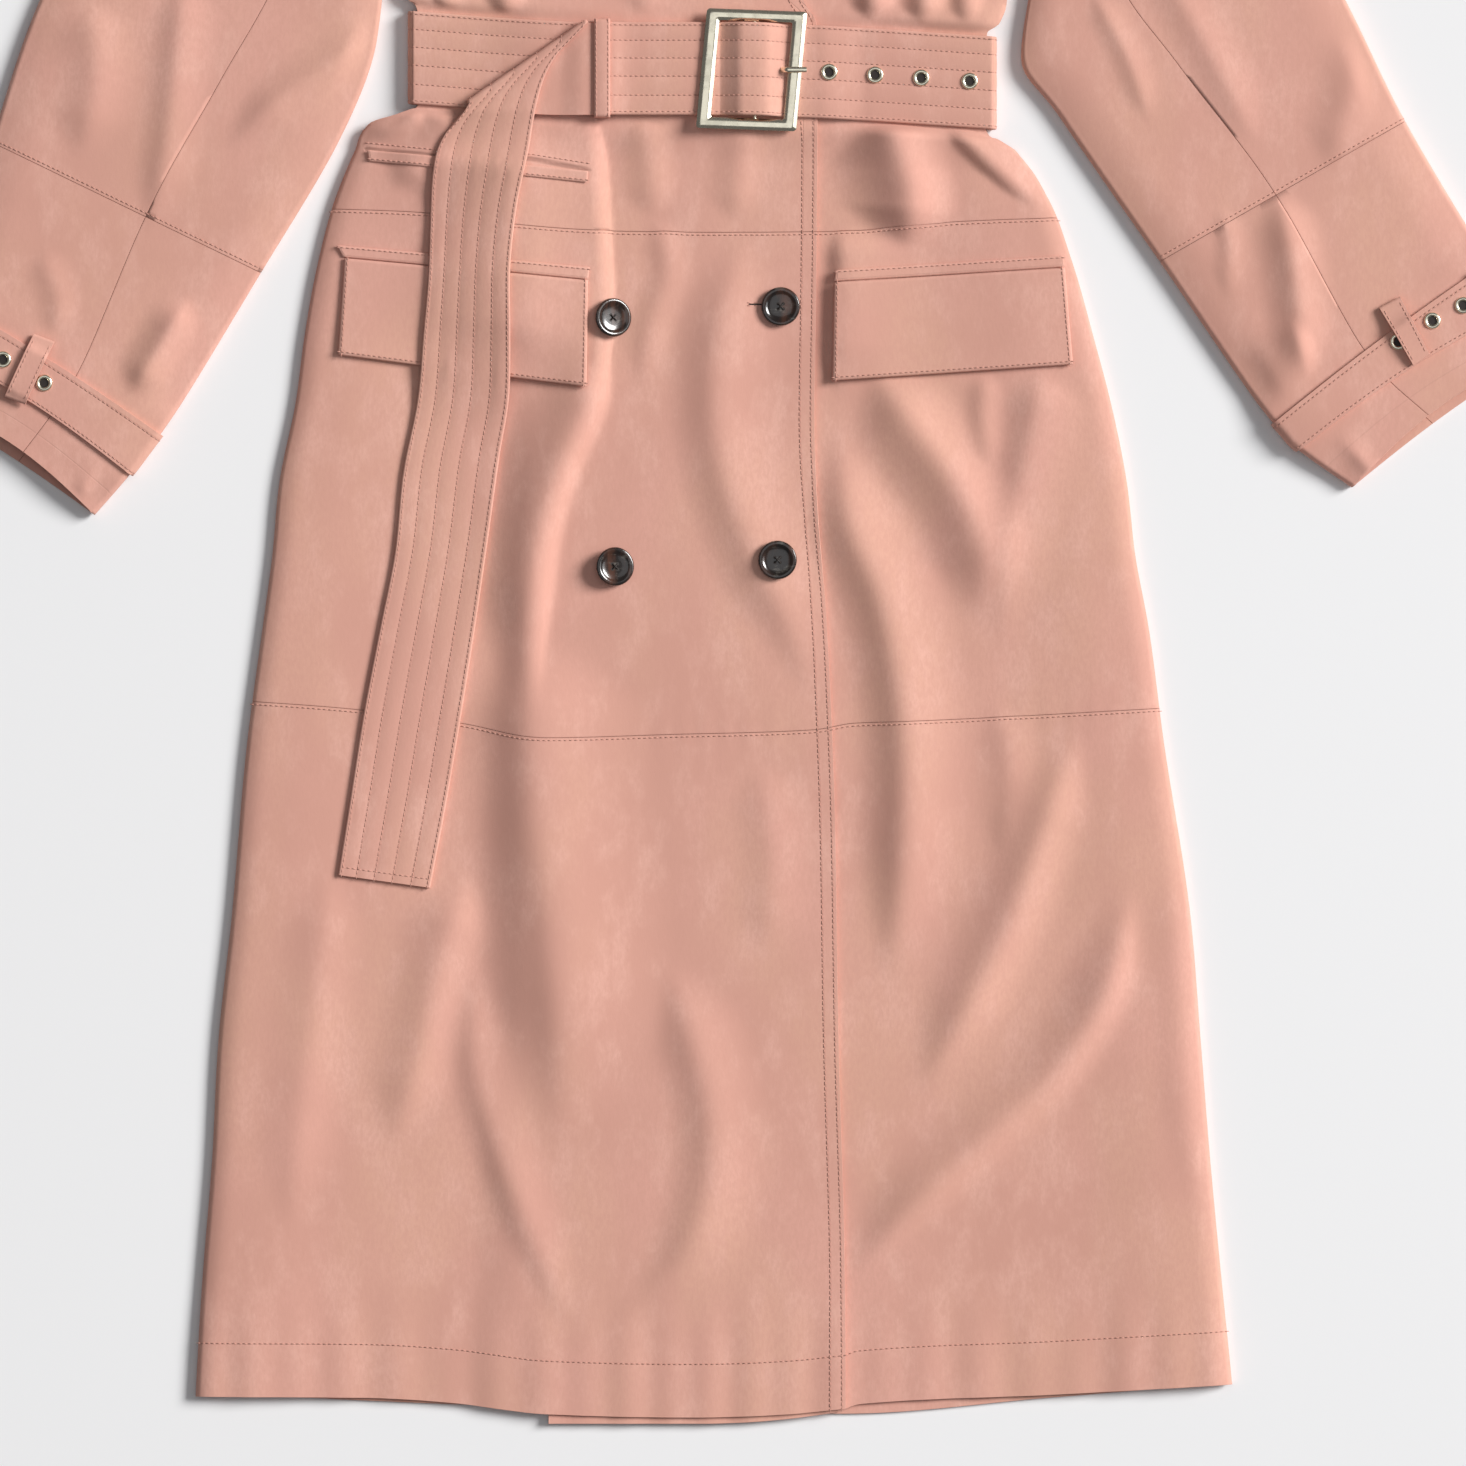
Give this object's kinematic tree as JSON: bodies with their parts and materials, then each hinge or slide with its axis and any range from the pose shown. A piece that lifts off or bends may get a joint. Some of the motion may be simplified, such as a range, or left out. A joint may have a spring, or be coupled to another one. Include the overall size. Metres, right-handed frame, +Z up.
{
  "type": "trench coat",
  "caption": "Double-breasted trench coat in soft pink faux suede, laid flat on its back with its wide belt buckled, dark horn buttons and pale gold metal fittings",
  "frame": {"origin": "centre of the coat's outline in plan, at the plane of the surface it lies on", "axes": "+X to the right as seen from above (the wearer's left), +Y from the hem to the shoulders, +Z up from the surface through the back to the front"},
  "size_m": [1.022, 1.256, 0.022],
  "materials": {
    "suede": "brushed faux suede with a short nap, soft pink",
    "suede_belt": "stitched faux suede of the belt, straps and loops, soft pink",
    "horn": "polished dark horn look",
    "pale_gold": "pale champagne gold plating, polished"
  },
  "bodies": {
    "root": {"back_bodice": "suede", "right_front_bodice": "suede", "left_front_bodice": "suede", "back_middle": "suede", "right_front_middle": "suede", "left_front_middle": "suede", "back_lower": "suede", "right_front_lower": "suede", "left_front_lower": "suede", "left_lapel": "suede", "right_lapel": "suede", "collar": "suede", "right_pocket_flap": "suede", "left_pocket_flap": "suede", "right_pocket_welt": "suede", "left_pocket_welt": "suede", "ticket_pocket_welt": "suede", "button_top_right": "horn", "button_top_left": "horn", "button_middle_right": "horn", "button_middle_left": "horn", "button_low_right": "horn", "button_low_left": "horn", "belt_strap": "suede_belt", "belt_keeper": "suede_belt", "belt_tail": "suede_belt", "buckle_frame": "pale_gold", "buckle_prong": "pale_gold", "belt_eyelet_1": "pale_gold", "belt_eyelet_2": "pale_gold", "belt_eyelet_3": "pale_gold", "belt_eyelet_4": "pale_gold", "right_sleeve_outer_upper": "suede", "right_sleeve_outer_lower": "suede", "right_sleeve_inner_upper": "suede", "right_sleeve_inner_lower": "suede", "right_sleeve_strap": "suede_belt", "right_strap_loop": "suede_belt", "right_strap_buckle": "pale_gold", "right_strap_eyelet_1": "pale_gold", "right_strap_eyelet_2": "pale_gold", "left_sleeve_outer_upper": "suede", "left_sleeve_outer_lower": "suede", "left_sleeve_inner_upper": "suede", "left_sleeve_inner_lower": "suede", "left_sleeve_strap": "suede_belt", "left_strap_loop": "suede_belt", "left_strap_buckle": "pale_gold", "left_strap_eyelet_1": "pale_gold", "left_strap_eyelet_2": "pale_gold", "left_strap_eyelet_3": "pale_gold"}
  },
  "joints": []
}
